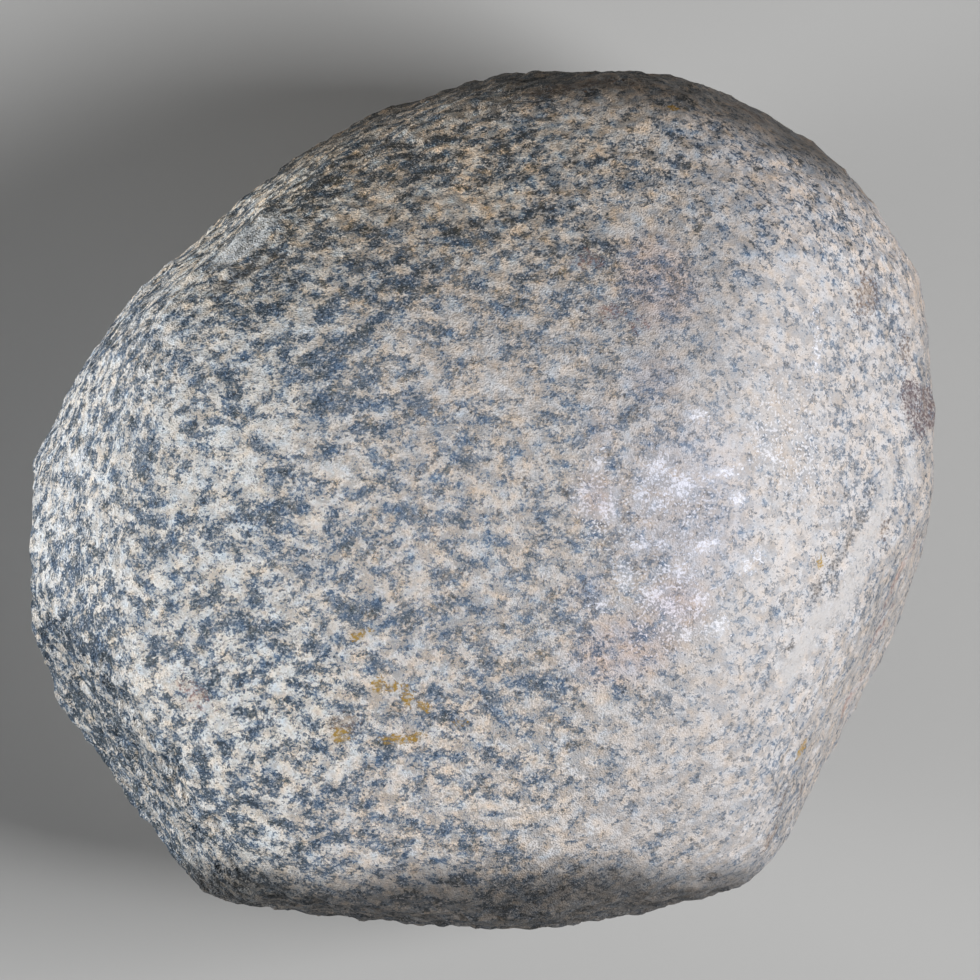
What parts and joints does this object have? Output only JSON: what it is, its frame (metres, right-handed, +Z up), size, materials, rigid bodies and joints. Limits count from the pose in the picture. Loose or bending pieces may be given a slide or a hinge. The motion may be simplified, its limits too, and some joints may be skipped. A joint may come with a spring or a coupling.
{
  "type": "stone pestle",
  "caption": "Hand-sized pestle made from a worn granodiorite cobble, with a domed broad face, rounded sides, a faceted pounding end and a small flat on its back to lie on.",
  "frame": {"origin": "on the resting flat, under the middle of the stone's bounding box", "axes": "+Z up out of the broad face, +X along the long side, +Y away from the pounding end"},
  "size_m": [0.0958, 0.0912, 0.0665],
  "materials": {
    "granodiorite": "rubbed, finely pitted stone, speckled cream and blue-black"
  },
  "bodies": {
    "root": {"pestle": "granodiorite"}
  },
  "joints": []
}
